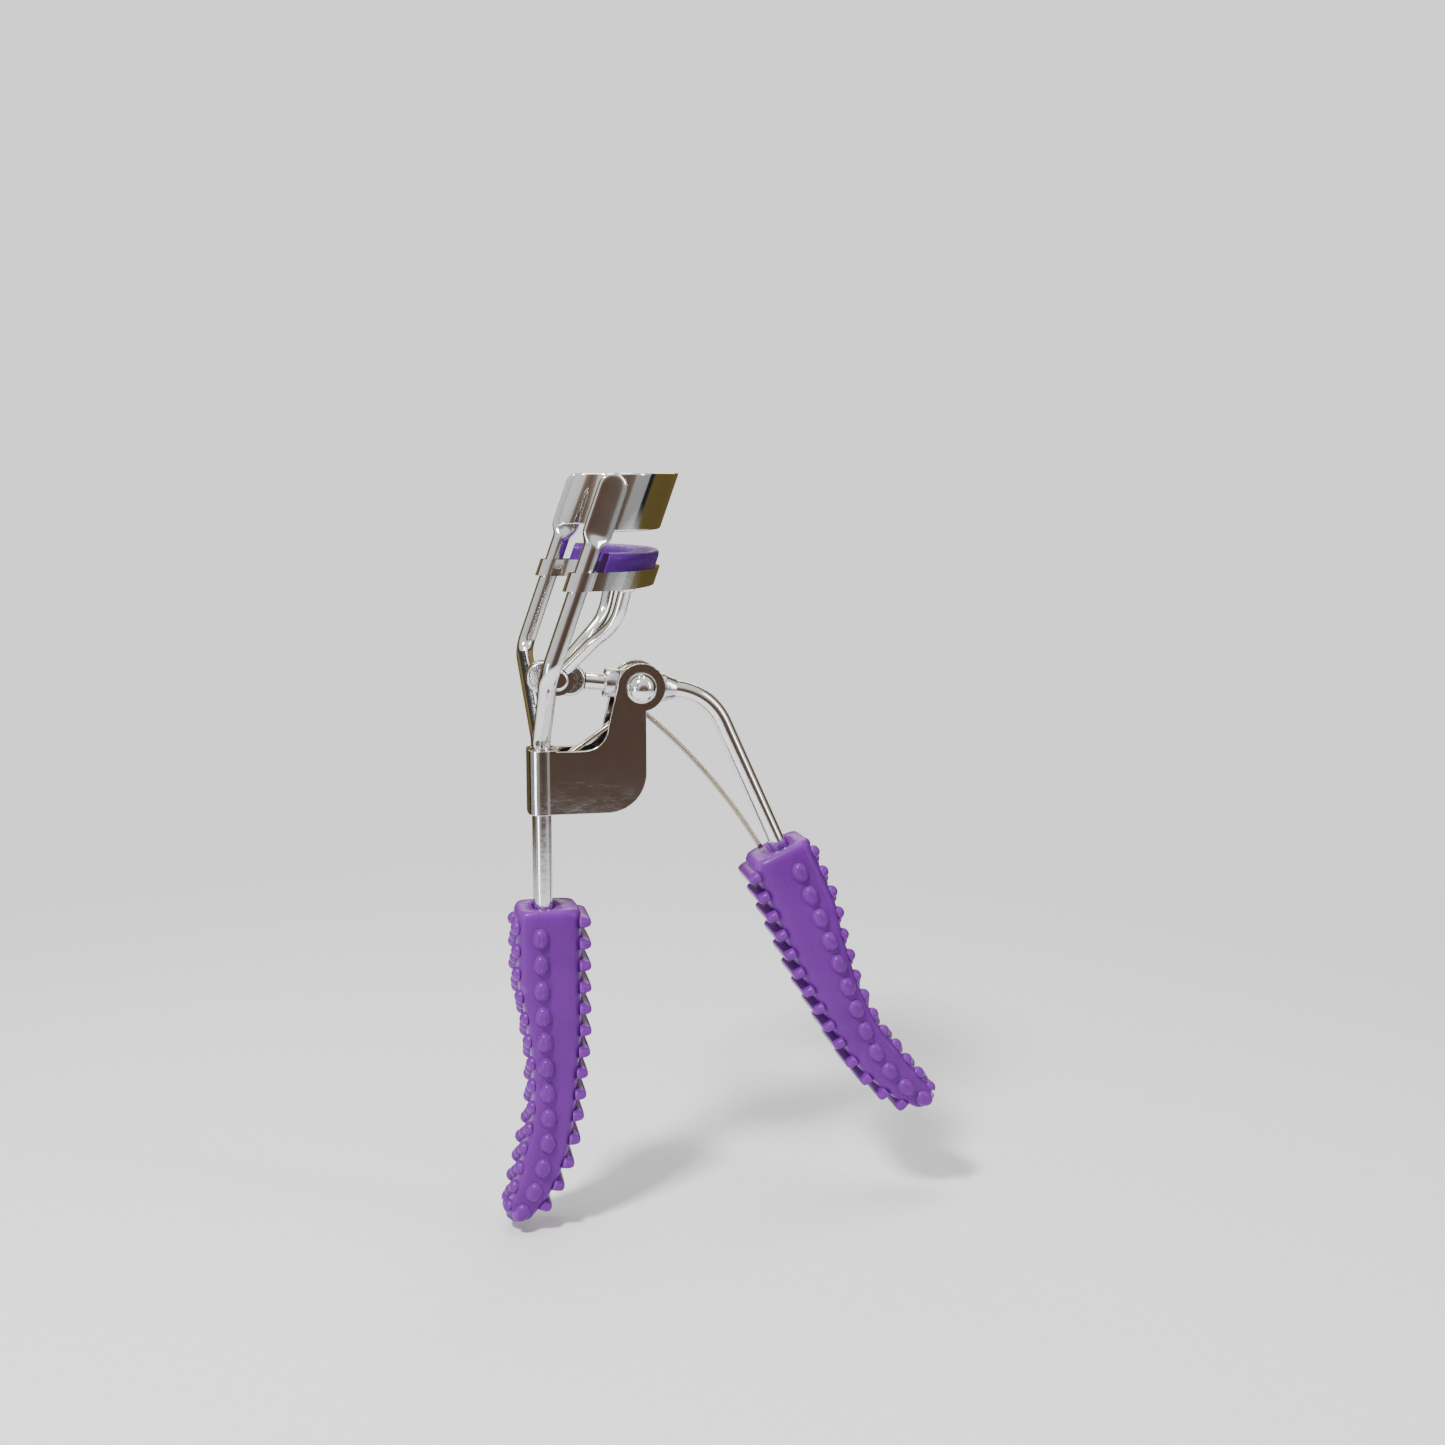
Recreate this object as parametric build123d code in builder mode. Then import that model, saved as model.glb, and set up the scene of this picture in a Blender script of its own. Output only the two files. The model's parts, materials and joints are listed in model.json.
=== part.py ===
"""Hand-held eyelash curler: two bent frame wires carry a fixed upper jaw, a lever with a
slotted crank drives a padded lower jaw up the wires, and a torsion spring reopens it.

Frame: origin on the shank axis where the frame wires enter their grip. +Z runs up the
shank towards the jaws, +X points from the frame handle to the lever handle, and the
whole mechanism is symmetric about Y = 0 apart from the spring and its seat.
"""

import os
from math import asin, atan2, cos, degrees, floor, pi, radians, sin, sqrt, tan

from build123d import *

# ---------------------------------------------------------------- driving dimensions (mm)
# Frame wires
WIRE_D = 2.5  # frame, crank and lever wire
WIRE_GAP = 0.04  # between the two frame wires where they lie side by side
KINK_Z = 34.6  # height of the corner where they turn into the rails
KINK_X = -0.6
RAIL_HALF_SPAN = 18.5  # rail axis from the mid plane
RAIL_TOP_Z = 60.6
RAIL_LEAN = 19.5  # degrees, rails lean towards +X
SPREAD_R = 2.0  # bend where the two wires part above the clamp
SPREAD_RISE = 0.6  # corner of that bend above the clamp, in bend radii
KINK_R = 3.4
WIRE_IN_GRIP = 31.0

# Flattened rail ends that carry the upper jaw
PADDLE_W = 3.9
PADDLE_T = 1.2
PADDLE_Z = 52.0  # where the flat starts
PADDLE_TAPER = 1.0  # half the length of the transition from round to flat
PADDLE_SHY = 0.2  # how much narrower than the flat the transition ends

# Jaws
JAW_CORNER_X = 1.2115  # where the flange turns into its corner, ahead of the rail axis
JAW_R = 26.0
JAW_END_R = 5.0
JAW_T = 0.9
JAW_Z = 53.1  # lower edge of the upper jaw
JAW_FLANGE = 1.3  # how far the welded flange runs past the rail axis

# Lower jaw and pad
TROUGH_Z = 45.6
TROUGH_H = 2.4
TROUGH_W = 4.4
TROUGH_FLOOR = 0.7
PAD_W = 3.1
PAD_PROUD = 2.4
PAD_ROUND = 0.9
PAD_END_CLEAR = 0.2  # between the pad's end and the flattened rail end
LUG_WALL = 0.7
LUG_CLEAR = 0.06
CHANNEL_START = 0.42  # how far into the lug's wall the channel starts
CLOSED_GAP = 0.08  # left between pad and upper jaw when shut

# Lever pivot and crank
PIVOT_X = 13.9
PIVOT_Z = 31.0
PIVOT_D = 2.4
PIVOT_CLEAR = 0.05
RIVET_HEAD_R = 2.2
CRANK_TILT = 6.5  # degrees that the crank line drops towards the lever
CRANK_R = 11.78  # pivot axis to link pin axis
HUB_SIDE_CLEAR = 0.1  # between the hub and each ear
HUB_LEFT = 3.0  # hub body, from the pivot axis towards the crank
HUB_RIGHT = 3.5
HUB_SEAT_D = 4.0  # round seat of the spring coil
FERRULE_STEP = 0.1  # how much smaller than the hub the ferrules are, in diameter
FERRULE_LIP = 0.2  # ferrule wall at its tip
CRANK_FERRULE_L = 2.0
LEVER_FERRULE_L = 1.8

# Link joint
EYE_L = 8.3
EYE_H = 4.5
EYE_T = 2.6
PIN_D = 1.6
PIN_CLEAR = 0.08
SLOT_SPARE = 0.12  # pin play left at each end of its run
ROD_D = 1.8
ROD_EYE_D = 4.4
ROD_EYE_T = 1.5
ROD_BEND_R = 6.0
ROD_ROOT = (0.88, 0, 1.1)  # where the rod leaves its eye, from the eye's centre
ROD_FIRST = (4.2, 1.9, 4.4)  # first corner from the root: ahead, outwards, up
ROD_LAST = (1.3, 0.9, 5.2)  # last corner from the weld: back, inwards, down
ROD_WELD_R = 1.3  # weld bead
ROD_WELD_Y = 7.5
ROD_WELD_BACK = 1.295  # weld position behind the middle of the jaw band
PIN_HEAD_D = 3.0
PIN_HEAD_H = 0.7
PIN_HEAD_ROUND = 0.49
SIDE_CLEAR = 0.12  # between the crank eye and the rod eyes

# Lever
LEVER_ANGLE = 24.2  # degrees from vertical
LEVER_BEND_X = 24.0  # corner of the bend
LEVER_BEND_R = 8.5
LEVER_MOUTH_Z = 7.2  # height where the wire enters its grip

# Bracket
SHEET_T = 0.7
WRAP_Z = 13.4
WRAP_TOP_Z = 22.5
WRAP_REACH = 2.0  # from the shank axis towards the plates
PLATE_ROOT = 0.875  # where the plates start inside the wrap
PLATE_TOP_Z = 22.3
PLATE_X = 14.55
PLATE_CORNER_R = 5.5
EAR_R = 3.4
NECK_X = 9.2
NECK_ROUND = 3.4
EAR_GAP = 4.4  # between the two ears

# Return spring
SPRING_WIRE_D = 0.7
SPRING_PITCH = 0.72
SPRING_SIDE_CLEAR = 0.1  # between the coil and the hub's flat
SPRING_LEG_TURN = 285.0  # degrees of coil between the two legs, on top of its whole turns
SPRING_EAR_CLEAR = 0.1
SPRING_SEAT_CLEAR = 0.1
SPRING_EXIT = 230.0  # angle about the pivot where the long leg leaves
SPRING_LEG_X = 31.6  # where the long leg dips into the lever grip
SPRING_LEG_Z = 7.0
SPRING_BOW_AT = 14.2  # corner of the long leg's bow
SPRING_BOW_R = 80.0

# Grips: outer size over ribs and dots, as (distance down the grip, outer, inner, half depth)
GRIP_STATIONS = [
    (0.0, 4.9, 6.3, 5.2),
    (10.0, 4.9, 6.6, 5.3),
    (20.0, 3.9, 6.3, 5.0),
    (27.0, 3.4, 5.7, 4.7),
    (34.0, 4.2, 4.7, 4.5),
    (41.0, 4.2, 3.7, 4.2),
    (45.0, 3.4, 3.0, 3.5),
    (47.6, 1.6, 1.4, 1.8),
]
GRIP_STRAIGHT = 31.0
GRIP_CURVE_R = 24.0
GRIP_CORNER = 1.6
GRIP_CORNER_SHARE = 0.45  # of the section's width, the most its corners take
MOUTH_DEPTH = 1.2
MOUTH_W = 3.6
MOUTH_SIDE = 0.8  # pocket beyond the pair of wires
MOUTH_CORNER = 1.08

# ---------------------------------------------------------------- derived values
WIRE_R = WIRE_D / 2
WIRE_Y = WIRE_R + WIRE_GAP / 2
LEAN = radians(RAIL_LEAN)
RAIL_DIR = Vector(sin(LEAN), 0, cos(LEAN))
TILT = radians(CRANK_TILT)
PIVOT = Vector(PIVOT_X, 0, PIVOT_Z)
CRANK_DIR = Vector(-cos(TILT), 0, sin(TILT))  # from the pivot to the link pin
LINK = PIVOT + CRANK_DIR * CRANK_R
LEVER = radians(LEVER_ANGLE)
LEVER_DOWN = Vector(sin(LEVER), 0, -cos(LEVER))
LEVER_OUT = Vector(cos(LEVER), 0, sin(LEVER))
LEVER_BEND = PIVOT - CRANK_DIR * ((LEVER_BEND_X - PIVOT_X) / cos(TILT))
LEVER_MOUTH = LEVER_BEND + LEVER_DOWN * ((LEVER_BEND.Z - LEVER_MOUTH_Z) / cos(LEVER))
PAD_TOP_Z = TROUGH_Z + TROUGH_H + PAD_PROUD
JAW_TRAVEL = (JAW_Z - PAD_TOP_Z - CLOSED_GAP) / cos(LEAN)
# how far the link pin runs towards the pivot along the slot as the jaws shut
SLOT_RUN = CRANK_R - (CRANK_DIR * CRANK_R + RAIL_DIR * JAW_TRAVEL).length
JAW_HALF_SPAN = RAIL_HALF_SPAN - PADDLE_T / 2 - JAW_T / 2
# the crown's arc meets both corners: half its angle, and how far it bulges past the rail axis
JAW_REACH = JAW_R - JAW_END_R
JAW_TURN = asin((JAW_HALF_SPAN - JAW_END_R) / JAW_REACH)
JAW_BULGE = JAW_CORNER_X + JAW_R - JAW_REACH * cos(JAW_TURN)
# the pad's ends stay ahead of the flattened rail ends that they rise beside
PAD_START = PADDLE_W / 2 / cos(LEAN) + PAD_END_CLEAR
EAR_OUT = EAR_GAP / 2 + SHEET_T
HUB_D = EAR_GAP - 2 * HUB_SIDE_CLEAR
FERRULE_D = HUB_D - FERRULE_STEP
FERRULE_TIP_D = WIRE_D + 2 * FERRULE_LIP
# as many whole turns of the spring as fit between the hub's flat and the ear
SPRING_ROOM = EAR_GAP / 2 - SPRING_SIDE_CLEAR - SPRING_EAR_CLEAR - SPRING_WIRE_D
SPRING_TURN = SPRING_LEG_TURN + 360 * floor(SPRING_ROOM / SPRING_PITCH - SPRING_LEG_TURN / 360)
SPREAD_Z = WRAP_TOP_Z + SPREAD_RISE * SPREAD_R


def rail_x(z):
    """X of the rail axis at height z."""
    return KINK_X + (z - KINK_Z) * tan(LEAN)


def jaw_band(width, from_x):
    """Plan view of a band along the jaw curve, rail axis at x = 0, cut off square at from_x."""
    turn = degrees(JAW_TURN)
    flange_x = JAW_CORNER_X
    end_y = JAW_HALF_SPAN - JAW_END_R
    with BuildSketch() as band:
        with BuildLine():
            for half in (width / 2, -width / 2):
                for y, start in ((-end_y, -90), (end_y, turn)):
                    CenterArc((flange_x, y), JAW_END_R + half, start, 90 - turn)
                CenterArc((JAW_BULGE - JAW_R, 0), JAW_R + half, -turn, 2 * turn)
                for y in (-JAW_HALF_SPAN - half, JAW_HALF_SPAN + half):
                    Line((-JAW_FLANGE, y), (flange_x, y))
            for y in (-JAW_HALF_SPAN, JAW_HALF_SPAN):
                Line((-JAW_FLANGE, y - width / 2), (-JAW_FLANGE, y + width / 2))
        make_face()
        if from_x > -JAW_FLANGE:
            reach_x = from_x + JAW_FLANGE
            with Locations((from_x - reach_x, 0)):
                Rectangle(2 * reach_x, 4 * RAIL_HALF_SPAN, mode=Mode.SUBTRACT)
    return band.sketch


def finish(part, name):
    """Label a finished piece and write it to its own STEP file."""
    part.label = name
    export_step(part, f"parts/{name}.step")


os.makedirs("parts", exist_ok=True)

# ---------------------------------------------------------------- frame wires
frame_wires = []
for name, side in (("rail_wire_front", -1), ("rail_wire_back", 1)):
    top = Vector(rail_x(PADDLE_Z + PADDLE_T), side * RAIL_HALF_SPAN, PADDLE_Z + PADDLE_T)
    paddle_mid_z = (PADDLE_Z + RAIL_TOP_Z) / 2
    paddle_plane = Plane(
        origin=(rail_x(paddle_mid_z), side * RAIL_HALF_SPAN, paddle_mid_z),
        x_dir=RAIL_DIR,
        z_dir=(0, side, 0),
    )
    paddle_l = (RAIL_TOP_Z - PADDLE_Z) / cos(LEAN)
    with BuildPart() as rail_wire:
        with BuildLine():
            FilletPolyline(
                (0, side * WIRE_Y, -WIRE_IN_GRIP),
                (0, side * WIRE_Y, SPREAD_Z),
                (KINK_X, side * RAIL_HALF_SPAN, KINK_Z),
                top,
                radius=(SPREAD_R, KINK_R),
            )
        with BuildSketch(Plane(origin=(0, side * WIRE_Y, -WIRE_IN_GRIP), z_dir=(0, 0, 1))):
            Circle(WIRE_R)
        sweep()
        # the round wire ends where the flat begins
        split(
            bisect_by=Plane(
                origin=(rail_x(PADDLE_Z - PADDLE_TAPER), side * RAIL_HALF_SPAN, PADDLE_Z - PADDLE_TAPER),
                z_dir=RAIL_DIR,
            ),
            keep=Keep.BOTTOM,
        )
        # round to flat transition
        with BuildSketch(
            Plane(
                origin=(rail_x(PADDLE_Z - PADDLE_TAPER), side * RAIL_HALF_SPAN, PADDLE_Z - PADDLE_TAPER),
                x_dir=(0, 1, 0),
                z_dir=RAIL_DIR,
            )
        ):
            Circle(WIRE_R)
        with BuildSketch(
            Plane(
                origin=(rail_x(PADDLE_Z + PADDLE_TAPER), side * RAIL_HALF_SPAN, PADDLE_Z + PADDLE_TAPER),
                x_dir=(0, 1, 0),
                z_dir=RAIL_DIR,
            )
        ):
            Rectangle(PADDLE_T, PADDLE_W - PADDLE_SHY)
        loft()
        # flattened end
        with BuildSketch(paddle_plane.offset(-PADDLE_T / 2)):
            SlotOverall(paddle_l, PADDLE_W)
        extrude(amount=PADDLE_T)
    frame_wires.append(rail_wire.part)
    finish(rail_wire.part, name)

# ---------------------------------------------------------------- upper jaw
with BuildPart() as upper_jaw:
    with BuildSketch(Plane.XY.offset(JAW_Z)):
        with Locations((rail_x(JAW_Z), 0)):
            add(jaw_band(JAW_T, -JAW_FLANGE))
    extrude(amount=(RAIL_TOP_Z - JAW_Z) / cos(LEAN), dir=RAIL_DIR)
finish(upper_jaw.part, "upper_jaw")

# ---------------------------------------------------------------- lower jaw
trough_x = rail_x(TROUGH_Z)
floor_z = TROUGH_Z + TROUGH_FLOOR
lug_r = WIRE_R + LUG_CLEAR + LUG_WALL
channel_from_x = WIRE_R + LUG_CLEAR + CHANNEL_START
with BuildPart() as lower_jaw:
    with BuildSketch(Plane.XY.offset(TROUGH_Z)):
        with Locations((trough_x, 0)):
            add(jaw_band(TROUGH_W, 0))
        with Locations((trough_x, -RAIL_HALF_SPAN), (trough_x, RAIL_HALF_SPAN)):
            Circle(lug_r)
    extrude(amount=TROUGH_H / cos(LEAN), dir=RAIL_DIR)
    with BuildSketch(Plane.XY.offset(floor_z)):
        with Locations((rail_x(floor_z), 0)):
            add(jaw_band(PAD_W, channel_from_x))
    extrude(amount=TROUGH_H, dir=RAIL_DIR, mode=Mode.SUBTRACT)
    for side in (-1, 1):
        rail_plane = Plane(origin=(trough_x, side * RAIL_HALF_SPAN, TROUGH_Z), z_dir=RAIL_DIR)
        with BuildSketch(rail_plane):
            Circle(WIRE_R + LUG_CLEAR)
        extrude(amount=2 * TROUGH_H, both=True, mode=Mode.SUBTRACT)
finish(lower_jaw.part, "lower_jaw")

with BuildPart() as lash_pad:
    with BuildSketch(Plane.XY.offset(floor_z)):
        with Locations((rail_x(floor_z), 0)):
            add(jaw_band(PAD_W, PAD_START))
    extrude(amount=(PAD_TOP_Z - floor_z) / cos(LEAN), dir=RAIL_DIR)
    fillet(lash_pad.faces().sort_by(Axis.Z)[-1].edges(), radius=PAD_ROUND)
finish(lash_pad.part, "lash_pad")

# ---------------------------------------------------------------- clamp bracket
with BuildPart() as clamp_bracket:
    # section through the fold: a loop round both wires, then two flat plates
    plate_l = PIVOT_X + EAR_R
    with BuildSketch(Plane.XY.offset(WRAP_Z)):
        with Locations(Location((0, 0), 90)):
            SlotCenterToCenter(2 * WIRE_Y, WIRE_D + 2 * SHEET_T)
        with Locations((PLATE_ROOT, 0)):
            Rectangle(plate_l, 2 * EAR_OUT, align=(Align.MIN, Align.CENTER))
        with Locations(Location((0, 0), 90)):
            SlotCenterToCenter(2 * WIRE_Y, WIRE_D, mode=Mode.SUBTRACT)
        Rectangle(2 * plate_l, EAR_GAP, align=(Align.MIN, Align.CENTER), mode=Mode.SUBTRACT)
    extrude(amount=PIVOT_Z + EAR_R - WRAP_Z)
    # side view: wrap, plate with a round corner, neck and ear
    with BuildSketch(Plane.XZ) as outline:
        with Locations((-2 * WIRE_D, WRAP_Z)):
            Rectangle(2 * WIRE_D + WRAP_REACH, WRAP_TOP_Z - WRAP_Z, align=(Align.MIN, Align.MIN))
        with BuildLine():
            Polyline(
                (NECK_X - NECK_ROUND, PLATE_TOP_Z),
                (0, PLATE_TOP_Z),
                (0, WRAP_Z),
                (PLATE_X - PLATE_CORNER_R, WRAP_Z),
            )
            RadiusArc(
                (PLATE_X - PLATE_CORNER_R, WRAP_Z),
                (PLATE_X, WRAP_Z + PLATE_CORNER_R),
                -PLATE_CORNER_R,
            )
            Polyline(
                (PLATE_X, WRAP_Z + PLATE_CORNER_R),
                (PLATE_X, PIVOT_Z),
                (PIVOT_X - EAR_R, PIVOT_Z),
                (NECK_X, PLATE_TOP_Z + NECK_ROUND),
            )
            RadiusArc(
                (NECK_X, PLATE_TOP_Z + NECK_ROUND),
                (NECK_X - NECK_ROUND, PLATE_TOP_Z),
                NECK_ROUND,
            )
        make_face()
        with Locations((PIVOT_X, PIVOT_Z)):
            Circle(EAR_R)
            Circle(PIVOT_D / 2, mode=Mode.SUBTRACT)
    extrude(amount=2 * EAR_OUT, both=True, mode=Mode.INTERSECT)
finish(clamp_bracket.part, "clamp_bracket")

# ---------------------------------------------------------------- pivot rivet
with BuildPart() as pivot_rivet:
    with BuildSketch(Plane.XZ.offset(-EAR_OUT)):
        with Locations((PIVOT_X, PIVOT_Z)):
            Circle(PIVOT_D / 2)
    extrude(amount=2 * EAR_OUT)
    for side in (-1, 1):
        with BuildSketch(Plane(origin=(PIVOT_X, side * EAR_OUT, PIVOT_Z), x_dir=(1, 0, 0), z_dir=(0, 0, 1))):
            with BuildLine():
                Line((0, 0), (RIVET_HEAD_R, 0))
                RadiusArc((RIVET_HEAD_R, 0), (0, side * RIVET_HEAD_R), -side * RIVET_HEAD_R)
                Line((0, side * RIVET_HEAD_R), (0, 0))
            make_face()
        revolve(axis=Axis((PIVOT_X, 0, PIVOT_Z), (0, 1, 0)))
finish(pivot_rivet.part, "pivot_rivet")

# ---------------------------------------------------------------- hub and ferrules
hub_left = Plane(origin=PIVOT + CRANK_DIR * HUB_LEFT, z_dir=CRANK_DIR)
hub_right = Plane(origin=PIVOT - CRANK_DIR * HUB_RIGHT, z_dir=-CRANK_DIR)
with BuildPart() as pivot_hub:
    with BuildSketch(hub_left):
        Circle(HUB_D / 2)
    extrude(amount=-(HUB_LEFT + HUB_RIGHT))
    # flat that leaves room for the spring coil
    with BuildSketch(Plane.XZ):
        with Locations((PIVOT_X, PIVOT_Z)):
            Rectangle(4 * HUB_D, 4 * HUB_D)
    extrude(amount=-HUB_D, mode=Mode.SUBTRACT)
    with BuildSketch(Plane.XZ):
        with Locations((PIVOT_X, PIVOT_Z)):
            Circle(HUB_SEAT_D / 2)
    extrude(amount=-HUB_D / 2)
    with BuildSketch(Plane.XZ):
        with Locations((PIVOT_X, PIVOT_Z)):
            Circle(PIVOT_D / 2 + PIVOT_CLEAR)
    extrude(amount=HUB_D, both=True, mode=Mode.SUBTRACT)
finish(pivot_hub.part, "pivot_hub")

with BuildPart() as crank_ferrule:
    with BuildSketch(hub_left):
        Circle(FERRULE_D / 2)
        Circle(WIRE_R, mode=Mode.SUBTRACT)
    extrude(amount=CRANK_FERRULE_L)
finish(crank_ferrule.part, "crank_ferrule")

with BuildPart() as lever_ferrule:
    with BuildSketch(hub_right):
        Circle(FERRULE_D / 2)
    with BuildSketch(hub_right.offset(LEVER_FERRULE_L)):
        Circle(FERRULE_TIP_D / 2)
    loft()
    with BuildSketch(hub_right):
        Circle(WIRE_R)
    extrude(amount=LEVER_FERRULE_L, mode=Mode.SUBTRACT)
finish(lever_ferrule.part, "lever_ferrule")

# ---------------------------------------------------------------- crank arm and slotted eye
eye_plane = Plane(origin=LINK, x_dir=-CRANK_DIR, z_dir=(0, -1, 0))
with BuildPart() as crank_eye:
    with BuildSketch(eye_plane):
        SlotOverall(EYE_L, EYE_H)
        with Locations((SLOT_RUN / 2, 0)):
            SlotCenterToCenter(SLOT_RUN + 2 * SLOT_SPARE, PIN_D + 2 * PIN_CLEAR, mode=Mode.SUBTRACT)
    extrude(amount=EYE_T / 2, both=True)
finish(crank_eye.part, "crank_eye")

with BuildPart() as crank_arm:
    with BuildSketch(hub_left):
        Circle(WIRE_R)
    extrude(amount=CRANK_R - EYE_L / 2 - HUB_LEFT)
finish(crank_arm.part, "crank_arm")

# ---------------------------------------------------------------- lever wire
with BuildPart() as lever_wire:
    with BuildLine():
        FilletPolyline(
            PIVOT - CRANK_DIR * HUB_RIGHT,
            LEVER_BEND,
            LEVER_MOUTH + LEVER_DOWN * WIRE_IN_GRIP,
            radius=LEVER_BEND_R,
        )
    with BuildSketch(hub_right):
        Circle(WIRE_R)
    sweep()
finish(lever_wire.part, "lever_wire")

# ---------------------------------------------------------------- push rods and link pin
rod_eye_y = EYE_T / 2 + SIDE_CLEAR + ROD_EYE_T / 2
for name, side in (("push_rod_front", -1), ("push_rod_back", 1)):
    band_x = JAW_BULGE - JAW_R + sqrt(JAW_R**2 - ROD_WELD_Y**2)
    weld = Vector(rail_x(TROUGH_Z) + band_x - ROD_WELD_BACK, side * ROD_WELD_Y, TROUGH_Z)
    eye = Vector(LINK.X, side * rod_eye_y, LINK.Z)
    start = eye + Vector(*ROD_ROOT)
    with BuildPart() as push_rod:
        with BuildLine() as rod_line:
            FilletPolyline(
                start,
                (start.X + ROD_FIRST[0], side * (rod_eye_y + ROD_FIRST[1]), start.Z + ROD_FIRST[2]),
                (weld.X - ROD_LAST[0], side * (ROD_WELD_Y - ROD_LAST[1]), weld.Z - ROD_LAST[2]),
                weld,
                radius=ROD_BEND_R,
            )
        with BuildSketch(Plane(origin=rod_line.line @ 0, z_dir=rod_line.line % 0)):
            Circle(ROD_D / 2)
        sweep()
        with Locations(start, weld):
            Sphere(ROD_D / 2)
        with Locations(weld):
            Sphere(ROD_WELD_R)
        with BuildSketch(Plane.XY.offset(TROUGH_Z)):
            with Locations((weld.X, weld.Y)):
                Rectangle(4 * ROD_D, 4 * ROD_D)
        extrude(amount=2 * ROD_D, mode=Mode.SUBTRACT)
        eye_face = Plane(origin=eye - Vector(0, ROD_EYE_T / 2, 0), x_dir=(1, 0, 0), z_dir=(0, 1, 0))
        with BuildSketch(eye_face):
            Circle(ROD_EYE_D / 2)
        extrude(amount=ROD_EYE_T)
        with BuildSketch(eye_face.offset(-ROD_D)):
            Circle(PIN_D / 2)
        extrude(amount=ROD_EYE_T + 2 * ROD_D, mode=Mode.SUBTRACT)
        # flat seat for the pin's head, and clear of the crank eye between the two rods
        with BuildSketch(eye_face.offset(ROD_EYE_T if side > 0 else 0)):
            Circle(PIN_HEAD_D / 2 + SIDE_CLEAR)
        extrude(amount=side * ROD_D, mode=Mode.SUBTRACT)
        with BuildSketch(eye_face.offset(ROD_EYE_T if side < 0 else 0)):
            Circle(EYE_L)
        extrude(amount=-side * ROD_D, mode=Mode.SUBTRACT)
    finish(push_rod.part, name)

pin_half = rod_eye_y + ROD_EYE_T / 2
with BuildPart() as link_pin:
    with BuildSketch(Plane.XZ.offset(-pin_half)):
        with Locations((LINK.X, LINK.Z)):
            Circle(PIN_D / 2)
    extrude(amount=2 * pin_half)
    for side in (-1, 1):
        head_seat = Plane(origin=(LINK.X, side * pin_half, LINK.Z), x_dir=(1, 0, 0), z_dir=(0, side, 0))
        with BuildSketch(head_seat):
            Circle(PIN_HEAD_D / 2)
        extrude(amount=PIN_HEAD_H)
    rims = link_pin.edges().filter_by(GeomType.CIRCLE).group_by(Axis.Y)
    fillet([rims[0][0], rims[-1][0]], radius=PIN_HEAD_ROUND)
finish(link_pin.part, "link_pin")

# ---------------------------------------------------------------- return spring
# The coil sits round the hub's seat; the long leg pushes the lever, the short one the wires.
coil_r = HUB_SEAT_D / 2 + SPRING_SEAT_CLEAR + SPRING_WIRE_D / 2
coil_h = SPRING_PITCH * SPRING_TURN / 360
coil_near_y = SPRING_WIRE_D / 2 + SPRING_SIDE_CLEAR
exit_a = radians(SPRING_EXIT)
entry_a = radians(SPRING_EXIT - SPRING_TURN)
rise = SPRING_PITCH / (2 * pi * coil_r)


def coil_point(angle, y):
    """Point on the coil's centre line, angle measured from +X towards +Z."""
    return Vector(PIVOT_X + coil_r * cos(angle), y, PIVOT_Z + coil_r * sin(angle))


leg_out = coil_point(exit_a, coil_near_y)
leg_in = coil_point(entry_a, coil_near_y + coil_h)
out_dir = Vector(-sin(exit_a), -rise, cos(exit_a))
in_dir = Vector(sin(entry_a), 0, -cos(entry_a))
in_length = (leg_in.X - WIRE_R - SPRING_WIRE_D) / -in_dir.X
pivot_axis = Axis((PIVOT_X, 0, PIVOT_Z), (0, 1, 0))
coil = Helix(SPRING_PITCH, coil_h, coil_r, center=(PIVOT_X, coil_near_y, PIVOT_Z), direction=(0, 1, 0))
coil_start = coil @ 0
coil_turn = atan2(coil_start.Z - PIVOT_Z, coil_start.X - PIVOT_X) - exit_a
coil = coil.rotate(pivot_axis, degrees(coil_turn))
with BuildPart() as return_spring:
    with BuildLine() as spring_line:
        Line(leg_in + in_dir * in_length, leg_in)
        add(coil)
        FilletPolyline(
            leg_out,
            leg_out + out_dir * SPRING_BOW_AT,
            (SPRING_LEG_X, 0, SPRING_LEG_Z),
            radius=SPRING_BOW_R,
        )
    with BuildSketch(Plane(origin=leg_in + in_dir * in_length, z_dir=-in_dir)):
        Circle(SPRING_WIRE_D / 2)
    sweep()
finish(return_spring.part, "return_spring")

# ---------------------------------------------------------------- grips


def grip_station(mouth, distance, outward):
    """Section plane at a distance down the grip's centre line, shifted outwards from it."""
    down, out = -mouth.z_dir, mouth.x_dir
    turn = max(0.0, distance - GRIP_STRAIGHT) / GRIP_CURVE_R
    along = min(distance, GRIP_STRAIGHT) + GRIP_CURVE_R * sin(turn)
    aside = GRIP_CURVE_R * (1 - cos(turn))
    here_out = out * cos(turn) - down * sin(turn)
    here_down = down * cos(turn) + out * sin(turn)
    origin = mouth.origin + down * along + out * aside + here_out * outward
    return Plane(origin=origin, x_dir=here_out, z_dir=-here_down)


def build_grip(mouth, core):
    """Soft sleeve over the handle wires, with a pocket where they go in."""
    with BuildPart() as grip:
        for distance, outer, inner, depth in GRIP_STATIONS:
            with BuildSketch(grip_station(mouth, distance, (outer - inner) / 2)):
                corner = min(GRIP_CORNER, GRIP_CORNER_SHARE * (outer + inner) / 2)
                RectangleRounded(outer + inner, 2 * depth, corner)
        loft(ruled=True)
        for wire in core:
            add(wire, mode=Mode.SUBTRACT)
        with BuildSketch(mouth.offset(-MOUTH_DEPTH)):
            RectangleRounded(MOUTH_W, 2 * (WIRE_Y + WIRE_R) + MOUTH_SIDE, MOUTH_CORNER)
        extrude(amount=2 * MOUTH_DEPTH, mode=Mode.SUBTRACT)
    return grip.part


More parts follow.
